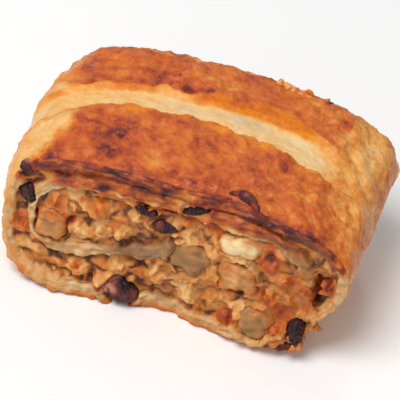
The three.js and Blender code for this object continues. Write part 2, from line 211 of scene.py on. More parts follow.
def flakes_at(x, y, z):
    """Thin leaves that lift off the right of the crust: their height in steps, and the share of each
    step that has been passed."""
    run = 2.8 * rough(x + 0.4 * y, y * 0.35, z, 6.5, 21) + 0.5 * rough(x, y, z, 2.2, 22)
    share = run - np.floor(run)
    return np.floor(run) + smooth(share, 0.0, 0.2), share


def crust_relief(x, y, z, turn):
    """How far the crust's outer face stands proud of the even sheet, in mm."""
    top = smooth(turn, 0.9, 1.3) * (1 - smooth(turn, 2.7, 3.1))
    inside, wall, _, _ = slash_at(x, y)
    fade = 1 - smooth(x, 30, 43)
    large = 0.6 * rough(x, y, z, 9, 5)
    blisters = (0.42 * rough(x, y, z, 4, 7) + 0.34 * rough(x, y, z, 2.3, 12) + 0.12 * rough(x, y, z, 1.15, 13)
                - 0.4 * (1 - smooth(np.abs(rough(x, y, z, 6, 15)), 0, 0.16))) * (1 - 0.45 * smooth(x, 41, 47))
    fibres = 0.13 * rough(x * 0.25, y, z, 1.3, 14) + 0.10 * rough(x, y, z, 1.6, 17)
    steps, _ = flakes_at(x, y, z)
    rim = 0.9 * (np.abs(y) / HALF_LENGTH) ** 6
    drawn = -SLASH_DEPTH * (inside - wall) * fade + fibres * inside * fade - rim
    return (top * drawn + large * (0.4 + 0.6 * top) + blisters * (1 - 0.8 * inside * top * fade)
            + 0.24 * steps * (smooth(x, 20, 34) * (1 - 0.5 * smooth(x, 42, 47)) + 0.2) * (1 - inside * top * fade))


def crust_bake(x, y, z, turn):
    """How browned the crust's outer face is, from 0 (pale dough) to 1 (burnt), and how much of it
    shows amber."""
    top = smooth(turn, 0.7, 1.2) * (1 - smooth(turn, 2.75, 3.2))
    inside, wall, front_lip, rear_lip = slash_at(x, y)
    edge = np.interp(y, BROWN_FROM[:, 0], BROWN_FROM[:, 1]) + 1.6 * rough(x, y, z, 5, 31) + 0.7 * rough(x, y, z, 2, 32)
    browned = smooth((x - edge) / (2.8 + 2.6 * smooth(y, 2, 8)), -1, 1)
    mottle = 0.08 * rough(x, y, z, 9, 33) + 0.07 * rough(x, y, z, 4, 34) + 0.07 * rough(x, y, z, 1.9, 35)
    _, leaf = flakes_at(x, y, z)
    leaves = 0.13 * (0.5 - leaf) * (smooth(x, 20, 38) + 0.15)
    crust = 0.63 + patches(x, y, CRUST_PATCHES) + mottle + leaves - 0.07 * smooth(y, 6, 16) * smooth(x, -8, 6)
    crust = crust - 0.14 * smooth(x, 26, 40) + 0.09 * np.exp(-((y - rear_lip - 1.6) / 1.4) ** 2) * (1 - smooth(x, 24, 34))
    # the pale left shoulder, more golden at its edge and along the slash
    ridge = np.exp(-((y - front_lip + 1.0) / 1.3) ** 2) * smooth(-x, 33, 38)
    side = 0.23 + 0.55 * mottle + 0.28 * smooth(9 - z, 0, 8) + 0.12 * smooth(-x, 45, 49) + 0.13 * ridge
    side = side + 0.06 * smooth(y, 8, 20)
    bake = side + (crust - side) * browned
    amber = np.clip(patches(x, y, AMBER_PATCHES), 0, 1)
    bake = bake + (0.44 - bake) * amber
    # a golden line where the crust turns down into the slash
    bake = bake + (0.34 - bake) * 0.85 * np.exp(-((y - front_lip + 0.1) / 0.75) ** 2) * browned * (1 - smooth(x, 28, 36))
    strong = 0.45 + 0.55 * smooth(x, -10, -6) * (1 - smooth(x, 22, 30)) + 0.4 * patches(x, 0 * x, [(-26, 0, 5, 1, 1)])
    fibres = 0.05 * rough(x * 0.22, y, z, 1.2, 14)
    slash = 0.11 + 0.09 * smooth(-x, 8, 30) + fibres + 0.4 * mottle + strong * (0.40 * smooth(wall, 0, 0.3) + 0.08 * smooth(wall, 0.4, 0.85))
    open_part = inside * (1 - 0.8 * smooth(x + 3 * rough(x, y, z, 4, 16), 28, 41))
    bake = bake + (slash - bake) * open_part
    amber = np.maximum(0.8 * amber, np.clip((strong - 0.3) * 1.6, 0, 1) * smooth(wall, 0.02, 0.3) * open_part)
    # the right side below the top, paler lower down and with a painted sheen along its far right edge; then the
    # underside
    right = 0.50 + 1.3 * mottle + leaves - 0.14 * smooth(26 - z, 0, 12) - 0.12 * smooth(x, 46.5, 48.5)
    bake = np.where(x > 20, right + (bake - right) * top, bake)
    under = smooth(turn, BASE_TURN - 0.75, BASE_TURN - 0.25) * (1 - smooth(turn, BASE_TURN + 0.3, BASE_TURN + 0.55))
    return bake + (0.74 + mottle - bake) * under, amber * top


def rim_bake(x, z, outer, turn):
    """How browned the sheet's cut edges are; outer is 1 for the crust's own turn."""
    streaks = 0.20 * rough(x * 0.2, 0 * x, z, 1.0, 41) + 0.14 * rough(x * 0.6, 0 * x, z, 2.2, 42)
    upper = smooth(z, 32, 37) * (1 - 0.6 * smooth(x, 8, 26) * (1 - outer))
    left = outer * smooth(-x, 38, 44) * (1 - upper)
    bake = 0.18 + 0.42 * upper + 0.06 * left + streaks * (0.45 + 0.45 * upper)
    return bake + 0.40 * smooth(2.8 - z, 0, 2.4)


def shown(name, mesh, nodes, material):
    """A finished piece at the origin that rides on the strudel and stands for its solids."""
    old = bpy.data.objects.get(name)
    if old is not None:
        bpy.data.objects.remove(old)
    piece = bpy.data.objects.new(name, mesh)
    bpy.context.scene.collection.objects.link(piece)
    mesh.shade_smooth()
    mesh.materials.clear()
    mesh.materials.append(material)
    if nodes:
        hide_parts(*nodes)
    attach(piece, "root")
    return piece


def points_of(mesh):
    """A mesh's points as three columns of mm in section coordinates."""
    flat = np.empty(len(mesh.vertices) * 3)
    mesh.vertices.foreach_get("co", flat)
    x, y, z = flat.reshape(-1, 3).T / MM
    return x - CENTRING, y, z


def move_points(mesh, x, y, z):
    mesh.vertices.foreach_set("co", (np.stack([x + CENTRING, y, z], axis=1) * MM).ravel())
    mesh.update()


def normals_of(mesh):
    flat = np.empty(len(mesh.vertices) * 3)
    mesh.vertex_normals.foreach_get("vector", flat)
    return flat.reshape(-1, 3).T


def paint(mesh, **masks):
    """Stores one number a point for each named mask, for the materials to read."""
    for name, values in masks.items():
        layer = mesh.attributes.new(name, "FLOAT", "POINT")
        layer.data.foreach_set("value", np.clip(values, 0, 1).astype(np.float32))


def mesh_from(name, bm):
    """A fresh mesh with outward faces from a bmesh, which is freed."""
    bmesh.ops.recalc_face_normals(bm, faces=bm.faces)
    mesh = bpy.data.meshes.new(name)
    bm.to_mesh(mesh)
    bm.free()
    return mesh


def node_copy(node):
    """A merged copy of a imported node's mesh."""
    bm = bmesh.new()
    bm.from_mesh(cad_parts[node].data)
    bmesh.ops.remove_doubles(bm, verts=bm.verts, dist=1e-6)
    return bm


def fused(name, bm, voxel):
    """The overlapping shapes of a bmesh as one skin, with faces about voxel mm across."""
    rough_mesh = mesh_from(name + "_shapes", bm)
    lump = bpy.data.objects.new(name + "_shapes", rough_mesh)
    bpy.context.scene.collection.objects.link(lump)
    remesh = lump.modifiers.new("fuse", "REMESH")
    remesh.mode = "VOXEL"
    remesh.voxel_size = voxel * MM
    view_layer = bpy.context.evaluated_depsgraph_get()
    mesh = bpy.data.meshes.new_from_object(lump.evaluated_get(view_layer))
    mesh.name = name
    bpy.data.objects.remove(lump)
    bpy.data.meshes.remove(rough_mesh)
    return mesh


# ---- the rolled sheet ----

def rows_mm(spacing):
    """Rows across the roll as shares of its length, close together where the cut edges round off."""
    edge = [0, 0.1, 0.25, 0.5, 0.85, 1.3]
    half = list(np.arange(1.3 + spacing, HALF_LENGTH, spacing))
    rows = np.array(edge + half + [HALF_LENGTH])
    rows = np.concatenate([rows, 2 * HALF_LENGTH - rows[-2::-1]])
    return rows / rows[-1]


def sheet_mesh(name, from_share, to_share, spacing, rows, layers, outer):
    """A grid with a second face and layered edges, carried onto a stretch of the rolled sheet."""
    bm = bmesh.new()
    steps = round((to_share - from_share) * SHEET_LENGTH / spacing)
    bmesh.ops.create_grid(bm, x_segments=steps, y_segments=len(rows) - 1, size=0.5)
    raised = bmesh.ops.extrude_face_region(bm, geom=bm.faces[:])["geom"]
    corners = [part for part in raised if isinstance(part, bmesh.types.BMVert)]
    bmesh.ops.translate(bm, verts=corners, vec=(0, 0, 1))
    walls = [edge for edge in bm.edges if abs(edge.verts[0].co.z - edge.verts[1].co.z) > 0.5]
    bmesh.ops.subdivide_edges(bm, edges=walls, cuts=layers)
    mesh = bpy.data.meshes.new(name)
    bm.to_mesh(mesh)
    bm.free()

    flat = np.empty(len(mesh.vertices) * 3)
    mesh.vertices.foreach_get("co", flat)
    u, v, side = flat.reshape(-1, 3).T
    share = from_share + (to_share - from_share) * (u + 0.5)
    row = np.interp((v + 0.5) * (len(rows) - 1), np.arange(len(rows)), rows)
    middle_x, middle_z, out_x, out_z, turn, thick = sheet_at(share)
    from_end = np.minimum(1, np.minimum(share, 1 - share) * 120 + 0.25)
    half = thick / 2 * np.sqrt(1 - (1 - from_end) ** 2)

    # the cut edges round off over their last millimetre
    start, end = front_y(middle_x, middle_z), rear_y(middle_x, middle_z)
    y = start + (end - start) * row
    from_cut = np.maximum(np.minimum(y - start, end - y), 0)
    bend = np.minimum(0.8, half * 0.6)
    drawn_in = 1 - np.sqrt(1 - (1 - np.minimum(from_cut / bend, 1)) ** 2)
    half = half - bend * drawn_in
    x = middle_x + out_x * (2 * side - 1) * half
    z = middle_z + out_z * (2 * side - 1) * half
    x = x - LEFT_BELLY * np.maximum(1 - (y / HALF_LENGTH) ** 2, 0) * smooth(-x, 8, HALF_WIDTH)

    # layers that stand out and draw back along the cut edges
    length = share * SHEET_LENGTH
    layered = 0.50 * rough(length / 3, side * thick, 0 * y, 1.1, 51) + 0.35 * rough(length, side * thick, 0 * y, 2.6, 52)
    near_cut = np.clip(1 - from_cut / 1.6, 0, 1)
    behind = 1.4 * (1 - smooth(side, 0.75, 0.98)) if outer else 1.4
    y = y + np.where(row < 0.5, -1, 1) * (0.5 * layered - behind) * near_cut

    surface = 0.22 * rough(x, y, z, 3.1, 54) + 0.12 * rough(x, y, z, 1.3, 55)
    if outer:
        on_crust = smooth(turn, 0.15, 0.5) * (1 - smooth(turn, 3.6, 3.9))
        relief = crust_relief(x, y, z, turn)
        out = np.where(side > 0.5, (2 * side - 1) * (surface + (relief - surface) * on_crust), -0.5 * surface)
    else:
        out = (2 * side - 1) * surface * 0.6
    x, z = x + out_x * out, z + out_z * out
    underside = (turn > 3) & (turn < 5) & (side > 0.5)
    z = np.where(underside & (z < REST_FLAT), 0, z)
    z = np.maximum(z, 0)
    move_points(mesh, x, y, z)

    bm = bmesh.new()
    bm.from_mesh(mesh)
    bmesh.ops.recalc_face_normals(bm, faces=bm.faces)
    bm.to_mesh(mesh)
    bm.free()

    on_rim = near_cut * (1 - smooth(np.abs(2 * side - 1), 0.94, 1.0)) * np.clip(1 - from_cut / 0.2, 0, 1)
    if outer:
        bake, amber = crust_bake(x, y, z, turn)
        bake = np.where(side > 0.5, bake, 0.2)
        bake = bake + 0.08 * near_cut * (side > 0.5) * (row < 0.5) * smooth(z, 30, 40)
    else:
        bake = 0.22 + 0.15 * rough(x, y, z, 5, 61) + 0.25 * smooth(z, 33, 38) * near_cut
    rim = rim_bake(x, z, 1.0 if outer else 0.0, turn) + patches(x, z, FRONT_PATCHES) * (row < 0.5)
    rim = rim + np.where(row < 0.5, 0.14, -0.12) * smooth(z, 28, 40)
    bake = bake + (rim - bake) * on_rim
    cut = np.maximum(on_rim, np.where(side > 0.5, 0, 1) if outer else 1.0)
    if outer:
        smudge = patches(x, y, SMUDGES) * (0.7 + 0.6 * rough(x * 0.4, y, z, 1.2, 18)) * (side > 0.5) * (z > 30)
        cut = np.maximum(cut, smudge * slash_at(x, y)[0])
    paint(mesh, bake=bake, cut=cut, amber=amber * (1 - on_rim) if outer else 0 * bake)
    return mesh


class STRUDEL_OT_crust(bpy.types.Operator):
    """Bakes the outer turn of the pastry: browned top, slash, pale shoulder, base and laminated cut edges"""
    bl_idname = "strudel.crust"
    bl_label = "Bake the Crust"

    def execute(self, context):
        mesh = sheet_mesh("crust", 0, CRUST_SHARE + LAP, 0.5, rows_mm(0.52), 9, True)
        shown("crust", mesh, ["pastry_roll"], pastry_material())
        mesh = sheet_mesh("crust_base", CRUST_SHARE, OUTER_SHARE + LAP, 0.7, rows_mm(0.7), 9, True)
        shown("crust_base", mesh, ["pastry_roll"], pastry_material())
        return {"FINISHED"}


class STRUDEL_OT_inner_turns(bpy.types.Operator):
    """Bakes the turns of the pastry that lie inside the crust and show at the cut faces"""
    bl_idname = "strudel.inner_turns"
    bl_label = "Bake the Inner Turns"

    def execute(self, context):
        mesh = sheet_mesh("inner_turns", OUTER_SHARE, 1, 1.5, rows_mm(6.0), 3, False)
        shown("inner_turns", mesh, ["pastry_roll"], pastry_material())
        return {"FINISHED"}


# ---- the cut faces ----

# Lumps of the front cut face that stand out in it: x, z, half size, tone (0 syrup brown to 1
# cream), toasting
FRONT_LUMPS = [
    (-26.5, 20.6, 2.3, 0.9, 0.1), (-21.5, 22.8, 2.1, 0.85, 0.1), (-15, 24.4, 2.4, 0.8, 0.15),
    (-26, 8.4, 2.5, 0.8, 0.2), (-15, 12.2, 2.4, 0.85, 0.2), (-43, 16.5, 2.4, 0.55, 0.35),
    (-37, 9.2, 2.3, 0.7, 0.15), (-4, 12.4, 2.9, 0.6, 0.1), (5.5, 9.5, 3.0, 0.8, 0.05),
    (13, 11.6, 2.5, 0.55, 0.2), (17, 6.6, 2.4, 0.35, 0.5), (28, 17.6, 2.6, 0.4, 0.4),
    (26.4, 28.2, 2.6, 0.55, 0.45), (31, 24.6, 2.4, 0.4, 0.4), (-22, 29.6, 2.5, 0.35, 0.35),
    (32.2, 8, 2.5, 0.4, 0.45), (39.0, 9.6, 2.0, 0.45, 0.35), (40.8, 14.2, 1.8, 0.35, 0.3), (33.6, 4.0, 2.0, 0.3, 0.7),
    (38.6, 6.0, 1.5, 0.5, 0.4), (36.4, 3.4, 1.5, 0.3, 0.7), (41.4, 11.4, 1.4, 0.5, 0.25),
]
# Hollows of the front cut face beneath the standing layers: x, z, wide, high, out
FRONT_HOLLOWS = [
    (-13, 15.4, 7, 1.6, -2.6), (-31, 32.4, 4, 1.6, -1.8), (-16, 33.2, 6, 0.9, -1.6), (-40, 8.5, 5, 1.0, -1.2),
    (-9, 20.5, 4, 1.2, -1.4), (27, 36.5, 6, 0.9, -1.8), (4, 35.6, 6, 0.9, -1.4), (-28, 5.8, 7, 0.9, -1.8),
]
# Where the layers are darker and greyer, partly soaked with juice and partly painted shade in hollows and under the
# crust's edge: x, z, half sizes, strength
SOAKED_AND_SHADED = [(-12, 19.5, 12, 4, 0.9), (-2, 26, 8, 4, 0.7), (-32, 14, 5, 3, 0.35), (30, 37, 9, 4, 0.55), (36, 24, 5, 12, 0.5)]
# Where a layer is so steeped in juice that it looks like filling: x, z, half sizes, strength
STEEPED = [(37, 22, 4, 13, 0.9)]
FACE_DEPTH = 18
SKIN = 0.35


def lump(bm, x, y, z, size, seed):
    """Adds one irregular lump of about size mm half width to a bmesh."""
    turned = Euler((seed * 1.3, seed * 2.1, seed * 0.7)).to_matrix()
    shape = Vector((1.25 + 0.35 * math.sin(seed * 1.9), 0.95, 0.75 + 0.2 * math.cos(seed * 2.3)))
    made = bmesh.ops.create_icosphere(bm, subdivisions=2, radius=1)["verts"]
    for corner in made:
        ball = corner.co.copy()
        chunk = ball / max(abs(ball.x), abs(ball.y), abs(ball.z))
        dent = 1 + 0.38 * noise.noise(ball * 1.5 + Vector((seed * 3.7, 0, seed)))
        corner.co = ball.lerp(chunk, 0.35) * shape * dent * (size * 0.9)
        corner.co = (turned @ corner.co + Vector((x + CENTRING, y, z))) * MM


def lumps_on(tree, face, count, rng):
    """Random places where filling shows at a cut face, as x, y, z and half size, most of them small."""
    places = []
    while len(places) < count:
        x, z = rng.uniform(-46, 44), rng.uniform(3, 42)
        _, near, _, _ = tree.find_nearest(Vector(((x + CENTRING) * MM, face * 0.03, z * MM)))
        level = front_y(x, z) if face < 0 else rear_y(x, z)
        size = 0.9 + 2.3 * rng.random() ** 1.8
        share, _, distance, thick, _ = (column[0] for column in sheet_near(np.array([x]), np.array([z])))
        if abs(near.y) > 0.9 and distance - thick / 2 > 0.55 * size:
            places.append((x, level - face * size * rng.uniform(0.25, 0.7), z, size))
    return places


def line_tree(line):
    """Search tree of the sheet's middle line."""
    tree = kdtree.KDTree(line.shape[1])
    for i, (line_x, line_z) in enumerate(zip(line[1], line[2])):
        tree.insert((line_x, 0, line_z), i)
    tree.balance()
    return tree


ROLL_TREE = line_tree(ROLL[:, ::6])


def sheet_near(x, z):
    """For each point the share of the sheet's length nearest to it, the offset outward from the
    sheet's middle, the distance, the thickness and the turn there."""
    line = ROLL[:, ::6]
    which = np.array([ROLL_TREE.find((a, 0, b))[1] for a, b in zip(x.tolist(), z.tolist())])
    offset = (x - line[1][which]) * line[3][which] + (z - line[2][which]) * line[4][which]
    distance = np.hypot(x - line[1][which], z - line[2][which])
    return line[0][which], offset, distance, line[6][which], line[5][which]


def largest_island(bm):
    """Deletes all but the largest connected skin of a bmesh."""
    seen, best = set(), []
    for start in bm.verts:
        if start in seen:
            continue
        seen.add(start)
        island, edge_of = [start], [start]
        while edge_of:
            corner = edge_of.pop()
            for edge in corner.link_edges:
                other = edge.other_vert(corner)
                if other not in seen:
                    seen.add(other)
                    island.append(other)
                    edge_of.append(other)
        if len(island) > len(best):
            best = island
    keep = set(best)
    bmesh.ops.delete(bm, geom=[corner for corner in bm.verts if corner not in keep], context="VERTS")


def unbelly(x, y):
    """x with the roll's left belly taken off, as the section has it at the cut faces."""
    return x + LEFT_BELLY * np.maximum(1 - (y / HALF_LENGTH) ** 2, 0) * smooth(-x, 8, HALF_WIDTH)


def out_from(node, x, z):
    """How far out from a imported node's middle places of the cut face are, 1 being at its edge."""
    at_x, _, at_z = points_of(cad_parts[node].data)
    from_x = (2 * x - at_x.max() - at_x.min()) / np.ptp(at_x)
    return np.hypot(from_x, (2 * z - at_z.max() - at_z.min()) / np.ptp(at_z))


def cut_face(name, face, props, rng):
    """One cut face: the ends of the pastry layers and the filling between them baked into one
    craggy skin, with masks for layers, browning, tone and toasting."""
    shapes = bmesh.new()
    fillings = bmesh.new()
    for node in ("apple_filling", "seam_filling", "pastry_roll"):
        part = node_copy(node)
        part.normal_update()
        places = [corner.co / MM for corner in part.verts]
        if node == "pastry_roll":
            x, y, z = np.array(places).T
            x = x - CENTRING
            share, offset, _, _, _ = sheet_near(unbelly(x, y), z)
            drawn = np.where((share < OUTER_SHARE + 0.03) & (offset > 0), SKIN, 0)
            for corner, inward in zip(part.verts, drawn.tolist()):
                corner.co -= corner.normal * inward * MM
        else:
            for corner in part.verts:
                corner.co += corner.normal * 0.4 * MM
        mesh = mesh_from(node + "_shape", part)
        shapes.from_mesh(mesh)
        if node != "pastry_roll":
            fillings.from_mesh(mesh)
        bpy.data.meshes.remove(mesh)
    tree = BVHTree.FromBMesh(fillings)
    fillings.free()
    parts = shapes.verts[:] + shapes.edges[:] + shapes.faces[:]
    bmesh.ops.bisect_plane(shapes, geom=parts, plane_co=(0, face * FACE_DEPTH * MM, 0), plane_no=(0, -face, 0), clear_outer=True)
    bmesh.ops.holes_fill(shapes, edges=[edge for edge in shapes.edges if edge.is_boundary])
    bmesh.ops.triangulate(shapes, faces=[part for part in shapes.faces if len(part.verts) > 4])
    lumps = []
    if face < 0:
        for x, z, size, tone, toast in FRONT_LUMPS:
            lumps.append((x, front_y(x, z) + 0.9, z, size * 1.05, tone, toast))
    count = props.lump_count if face < 0 else props.lump_count // 2
    for x, y, z, size in lumps_on(tree, face, count, rng):
        lumps.append((x, y, z, size, rng.beta(1.6, 1.4), rng.uniform(0, 0.4)))
    for seed, (x, y, z, size, _, _) in enumerate(lumps):
        lump(shapes, x, y, z, size, seed)
    mesh = fused(name, shapes, props.grain)
    bm = bmesh.new()
    bm.from_mesh(mesh)
    largest_island(bm)
    bm.to_mesh(mesh)
    bm.free()

    x, y, z = points_of(mesh)
    normal = normals_of(mesh)
    share, offset, distance, thick, turn = sheet_near(unbelly(x, y), z)
    outer = smooth(OUTER_SHARE + 0.02 - share, 0, 0.02)
    level = -front_y(x, z) if face < 0 else rear_y(x, z)
    depth = level - np.abs(y)
    shown_side = smooth(normal[1] * face, -0.35, 0.3) * smooth(np.abs(y), FACE_DEPTH + 0.5, FACE_DEPTH + 2)
    length = share * SHEET_LENGTH
    layer = 1 - smooth(distance - thick / 2 - 0.1 + 0.4 * rough(x, y, z, 2.4, 70), -0.25, 0.25)
    if face < 0:
        layer = layer * (1 - patches(x, z, STEEPED))
    # the layers' ends: leaves that stand out and draw back
    leaves = rough(length / 4, offset, 0 * y, 0.75, 51)
    layered = 0.75 + 0.45 * leaves + 0.4 * rough(length, offset, y, 2.8, 52) + 0.15 * rough(x, y, z, 1.0, 53)
    # the filling between them: chunks with creases
    bent_x, bent_z = x + 0.9 * rough(x, y, z, 3, 77), z + 0.9 * rough(x, y, z, 3, 78)
    large, large_tone, large_toast = chunks(bent_x * 0.65, y * 0.5, bent_z, 4.4, 3)
    small, small_tone, small_toast = chunks(bent_x * 0.55, y * 0.7, bent_z, 1.9, 5)
    craggy = (1.5 * smooth(large, 0, 0.5) * (0.2 + 0.8 * large_tone) - 0.8 + 0.4 * rough(x, y, z, 2.2, 79)
              + 0.24 * smooth(small, 0, 0.5) * (0.3 + 0.7 * small_tone) - 0.1 + 0.16 * rough(x, y, z, 1.0, 76))
    drawn = hills_at(FRONT_HOLLOWS, x, z) if face < 0 else 0
    for node in RAISINS + APPLES:
        if points_of(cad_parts[node].data)[1].mean() * face > 0:
            drawn = drawn + 1.1 * np.exp(-((out_from(node, x, z) - 1.12) / 0.17) ** 2)
    swell = shown_side * (layer * layered * 0.3 + (1 - layer) * craggy)
    y = y + face * shown_side * (layer * layered + drawn)
    x, y, z = x + normal[0] * swell, y + normal[1] * swell, z + normal[2] * swell
    # under the crust the skin draws back from it
    back = 1.3 * outer * (offset > 0) * smooth(depth, 0.5, 2.5)
    _, _, out_x, out_z, _, _ = sheet_at(share)
    x, z = x - out_x * back, np.maximum(z - out_z * back, 0.25)
    move_points(mesh, x, y, z)

    near = kdtree.KDTree(len(lumps))
    for i, place in enumerate(lumps):
        near.insert(Vector(place[:3]), i)
    near.balance()
    creases = 1 - smooth(large, 0, 0.22)
    tone = 0.11 + 0.52 * large_tone + 0.14 * small_tone + 0.12 * rough(x, y, z, 7, 73) + 0.10 * rough(x, y, z, 1.2, 74)
    toast = 0.09 + 0.46 * smooth(large_toast, 0.6, 0.95) * smooth(large, 0, 0.5) + 0.26 * smooth(small_toast, 0.6, 0.95) * smooth(small, 0, 0.5)
    toast = toast + 0.12 * rough(x, y, z, 5, 75) + 0.08 * rough(x, y, z, 1.6, 72)
    blend = np.zeros(len(x))
    own_tone, own_toast = tone.copy(), toast.copy()
    for i, place in enumerate(zip(x.tolist(), y.tolist(), z.tolist())):
        best = 1.4
        for _, which, away in near.find_n(Vector(place), 3):
            if away / lumps[which][3] < best:
                best = away / lumps[which][3]
                own_tone[i], own_toast[i] = lumps[which][4:6]
        blend[i] = 1.4 - best
    blend = smooth(blend, 0.05, 0.4) * 0.75
    tone = tone + (own_tone + 0.25 * (small_tone - 0.5) - tone) * blend
    toast = toast + (own_toast - toast) * blend
    stands = np.abs(y) - level
    # painted shade and light: darker in the creases between chunks and where the skin lies more than a millimetre
    # behind the cut, paler where it stands out
    tone = tone - 0.48 * creases * (1 - blend) + 0.10 * smooth(stands, -1, 1.5) - 0.4 * smooth(-stands, 1.0, 3.5)
    toast = toast + 0.10 * smooth(stands, 0.4, 2.0)
    band = smooth(z - 0.05 * np.abs(x + 5), 33, 37) * (1 - 0.6 * smooth(x, 8, 24))
    toast = toast + 0.36 * band
    bake = rim_bake(x, z, outer, turn) + 0.10 * leaves + 0.03 * band + 0.08 * rough(x, y, z, 6, 71)
    bake = bake - 0.34 * smooth(-offset - thick / 2, -1.0, -0.3) * smooth(z, 20, 32) * (1 - outer)
    bake = bake + (0.14 if face < 0 else -0.12) * outer * smooth(z, 30, 36)
    # layers are darker and greyer here: partly soaked by the apple, partly painted shade
    soak_and_shade = patches(x, z, SOAKED_AND_SHADED)
    tone = tone + layer * (1 - soak_and_shade - tone)
    # the hidden rear is toasted like the front, the other way round
    toasted = patches(-face * x, z, FRONT_PATCHES)
    toast, bake = toast + toasted, bake + toasted
    paint(mesh, layer=layer, bake=bake, tone=tone, toast=toast)
    return mesh


class STRUDEL_OT_cut_faces(bpy.types.Operator):
    """Makes the two cut faces, where pastry layers and apple filling are baked together"""
    bl_idname = "strudel.cut_faces"
    bl_label = "Make the Cut Faces"

    def execute(self, context):
        props = context.scene.strudel_filling
        rng = np.random.default_rng(7)
        for name, face in (("cut_face_front", -1), ("cut_face_rear", 1)):
            mesh = cut_face(name, face, props, rng)
            shown(name, mesh, ["apple_filling", "seam_filling", "pastry_roll"], filling_material())
        return {"FINISHED"}


class STRUDEL_OT_middle(bpy.types.Operator):
    """Packs the apple filling between the two cut faces"""
    bl_idname = "strudel.middle"
    bl_label = "Pack the Middle"

    def execute(self, context):
        for node in ("apple_filling", "seam_filling"):
            bm = node_copy(node)
            for face in (-1, 1):
                parts = bm.verts[:] + bm.edges[:] + bm.faces[:]
                plane = (0, face * (FACE_DEPTH + 0.5) * MM, 0)
                bmesh.ops.bisect_plane(bm, geom=parts, plane_co=plane, plane_no=(0, face, 0), clear_outer=True)
                bmesh.ops.holes_fill(bm, edges=[edge for edge in bm.edges if edge.is_boundary])
            bmesh.ops.triangulate(bm, faces=bm.faces)
            mesh = mesh_from(node + "_middle", bm)
            count = len(mesh.vertices)
            paint(mesh, layer=np.zeros(count), bake=np.zeros(count), tone=np.full(count, 0.4), toast=np.full(count, 0.15))
            shown(node + "_middle", mesh, [node], filling_material())
        return {"FINISHED"}


# ---- raisins and apple dice ----

def rounded_copy(node, cuts):
    """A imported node's form with its facets subdivided and rounded."""
    bm = node_copy(node)
    bmesh.ops.subdivide_edges(bm, edges=bm.edges, cuts=cuts, use_grid_fill=True, smooth=0.9)
    for _ in range(2):
        bmesh.ops.smooth_vert(bm, verts=bm.verts, factor=0.5, use_axis_x=True, use_axis_y=True, use_axis_z=True)
    return mesh_from(node + "_baked", bm)


RAISINS = [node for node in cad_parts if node.startswith("raisin_")]
APPLES = [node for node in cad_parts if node.startswith("apple_") and node != "apple_filling"]
# Tone (0 grey and glassy to 1 cream) and toasting of each apple dice
APPLE_LOOKS = {
    "apple_left": (0.50, 0.24), "apple_slice": (0.16, 0.04), "apple_pale": (1.0, 0.05),
    "apple_golden": (0.55, 0.24), "apple_base": (0.22, 0.14), "apple_rear_top": (0.5, 0.3),
    "apple_rear_left": (0.45, 0.2), "apple_rear_middle": (0.2, 0.05), "apple_rear_right": (0.7, 0.2),
}


class STRUDEL_OT_raisins(bpy.types.Operator):
    """Makes the raisins, shrivelled and partly charred, in the filling's cut faces"""
    bl_idname = "strudel.raisins"
    bl_label = "Make the Raisins"

    def execute(self, context):
        material = raisin_material()
        for seed, node in enumerate(RAISINS):
            mesh = rounded_copy(node, 5 if node == "raisin_base" else 9)
            x, y, z = points_of(mesh)
            normal = normals_of(mesh)
            folds = np.abs(rough(x * 1.2, y, z * 0.8, 1.8, 81 + seed))
            shrivel = 0.12 - 0.75 * (1 - smooth(folds, 0, 0.34)) * 0.6 + 0.14 * rough(x, y, z, 0.8, 82 + seed)
            x, y, z = x + normal[0] * shrivel, y + normal[1] * shrivel, np.maximum(z + normal[2] * shrivel, 0.1)
            move_points(mesh, x, y, z)
            # pinkish mask: caramel where sugar has set, and on the corner raisin partly a painted highlight
            sugar = 0.25 + 0.5 * rough(x, y, z, 3.5, 83 + seed) + (0.3 if node == "raisin_corner" else 0)
            if node == "raisin_base":
                # a painted highlight: the pinkish patch on the upper left of the base raisin
                sugar = sugar + patches(x, z, [(-16.5, 7, 3.2, 3.2, 0.8)])
            paint(mesh, sugar=sugar)
            shown(node + "_baked", mesh, [node], material)
        return {"FINISHED"}


class STRUDEL_OT_apples(bpy.types.Operator):
    """Makes the soft baked apple dice in the filling's cut faces"""
    bl_idname = "strudel.apples"
    bl_label = "Make the Apple Dice"

    def execute(self, context):
        material = apple_material()
        for seed, node in enumerate(APPLES):
            mesh = rounded_copy(node, 9)
            x, y, z = points_of(mesh)
            normal = normals_of(mesh)
            soft = 0.4 + 0.6 * rough(x, y, z, 3.4, 91 + seed) + 0.4 * rough(x * 0.6, y, z, 1.6, 92 + seed)
            sunk = 0.5 * np.sign(y) * smooth(np.abs(y), HALF_LENGTH - 5, HALF_LENGTH)
            x, y, z = x + normal[0] * soft, y + normal[1] * soft - sunk, z + normal[2] * soft
            move_points(mesh, x, y, z)
            tone, toast = APPLE_LOOKS[node]
            toast = toast + 0.12 * rough(x, y, z, 2.6, 93 + seed)
            if "rear" not in node:
                toast = toast + patches(x, z, FRONT_PATCHES)
            tone = tone + 0.2 * rough(x, y, z, 4, 94) + 0.16 * rough(x * 0.4, y, z, 1.2, 95)
            # browner where it meets the filling
            edge = smooth(out_from(node, x, z) + 0.2 * rough(x, y, z, 2, 96), 0.65, 1.0)
            tone, toast = tone + (0.45 - tone) * 0.6 * edge, toast + 0.14 * edge
            paint(mesh, tone=tone, toast=toast)
            shown(node + "_baked", mesh, [node], material)
        return {"FINISHED"}


# ---- flakes and crumbs ----

